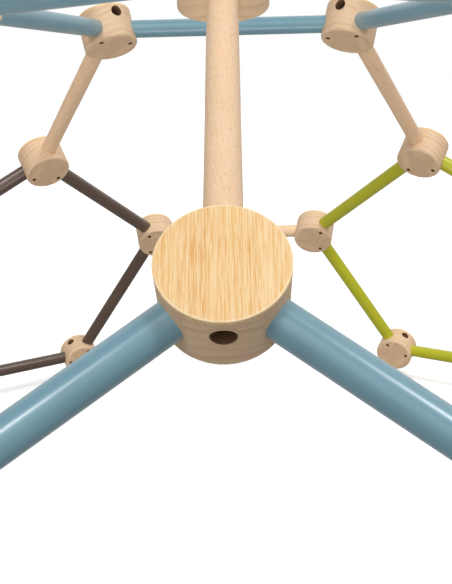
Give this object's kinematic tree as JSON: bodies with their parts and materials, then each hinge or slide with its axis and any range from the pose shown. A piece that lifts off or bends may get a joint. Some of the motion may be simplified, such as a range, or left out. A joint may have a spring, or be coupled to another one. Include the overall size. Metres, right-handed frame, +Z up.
{
  "type": "dome climber",
  "caption": "Half-dome climbing frame of painted and natural wooden rods joined by drum-shaped wooden hubs with bamboo faces.",
  "frame": {"origin": "middle of the footprint box, on the floor; the dome's own upright axis stands 35.5 mm from it along +Y", "axes": "+Z up, -Y towards the front ring, whose blue rods and top hub face the viewer, +X to the right seen from the front"},
  "size_m": [2.3366, 2.2333, 0.9808],
  "materials": {
    "hub_wood": "laminated rubberwood, sanded and clear satin varnished",
    "bamboo": "bamboo strip board, clear satin varnished",
    "beech": "natural beech, clear satin varnished",
    "blue_paint": "light blue satin paint on wood",
    "brown_paint": "dark brown satin paint on wood",
    "lime_paint": "lime green satin paint on wood",
    "sole_rubber": "matte moulded rubber",
    "zinc_steel": "zinc plated",
    "black_steel": "black oxide",
    "insert_brass": "turned"
  },
  "bodies": {
    "root": {"hub_front_top": "hub_wood", "hub_front_right": "hub_wood", "hub_front_base_right": "hub_wood", "hub_front_base_left": "hub_wood", "hub_front_left": "hub_wood", "hub_right_front_top": "hub_wood", "hub_right_front_right": "hub_wood", "hub_right_front_base_right": "hub_wood", "hub_right_front_base_left": "hub_wood", "hub_right_front_left": "hub_wood", "hub_right_back_top": "hub_wood", "hub_right_back_right": "hub_wood", "hub_right_back_base_right": "hub_wood", "hub_right_back_base_left": "hub_wood", "hub_right_back_left": "hub_wood", "hub_left_back_top": "hub_wood", "hub_left_back_right": "hub_wood", "hub_left_back_base_right": "hub_wood", "hub_left_back_base_left": "hub_wood", "hub_left_back_left": "hub_wood", "hub_left_front_top": "hub_wood", "hub_left_front_right": "hub_wood", "hub_left_front_base_right": "hub_wood", "hub_left_front_base_left": "hub_wood", "hub_left_front_left": "hub_wood", "hub_crown_front": "hub_wood", "hub_crown_right_front": "hub_wood", "hub_crown_right_back": "hub_wood", "hub_crown_left_back": "hub_wood", "hub_crown_left_front": "hub_wood", "front_ring_rods": "blue_paint", "front_ring_caps": "bamboo", "right_front_ring_rods": "brown_paint", "right_front_ring_caps": "bamboo", "right_back_ring_rods": "lime_paint", "right_back_ring_caps": "bamboo", "left_back_ring_rods": "brown_paint", "left_back_ring_caps": "bamboo", "left_front_ring_rods": "lime_paint", "left_front_ring_caps": "bamboo", "crown_ring_rods": "blue_paint", "crown_ring_caps": "bamboo", "crown_link_front": "beech", "belt_link_front": "beech", "crown_link_right_front": "beech", "belt_link_right_front": "beech", "crown_link_right_back": "beech", "belt_link_right_back": "beech", "crown_link_left_back": "beech", "belt_link_left_back": "beech", "crown_link_left_front": "beech", "belt_link_left_front": "beech", "feet": "beech", "foot_soles": "sole_rubber", "link_bolts": "zinc_steel", "link_washers": "zinc_steel", "threaded_inserts": "insert_brass", "ring_screws": "black_steel"}
  },
  "joints": []
}
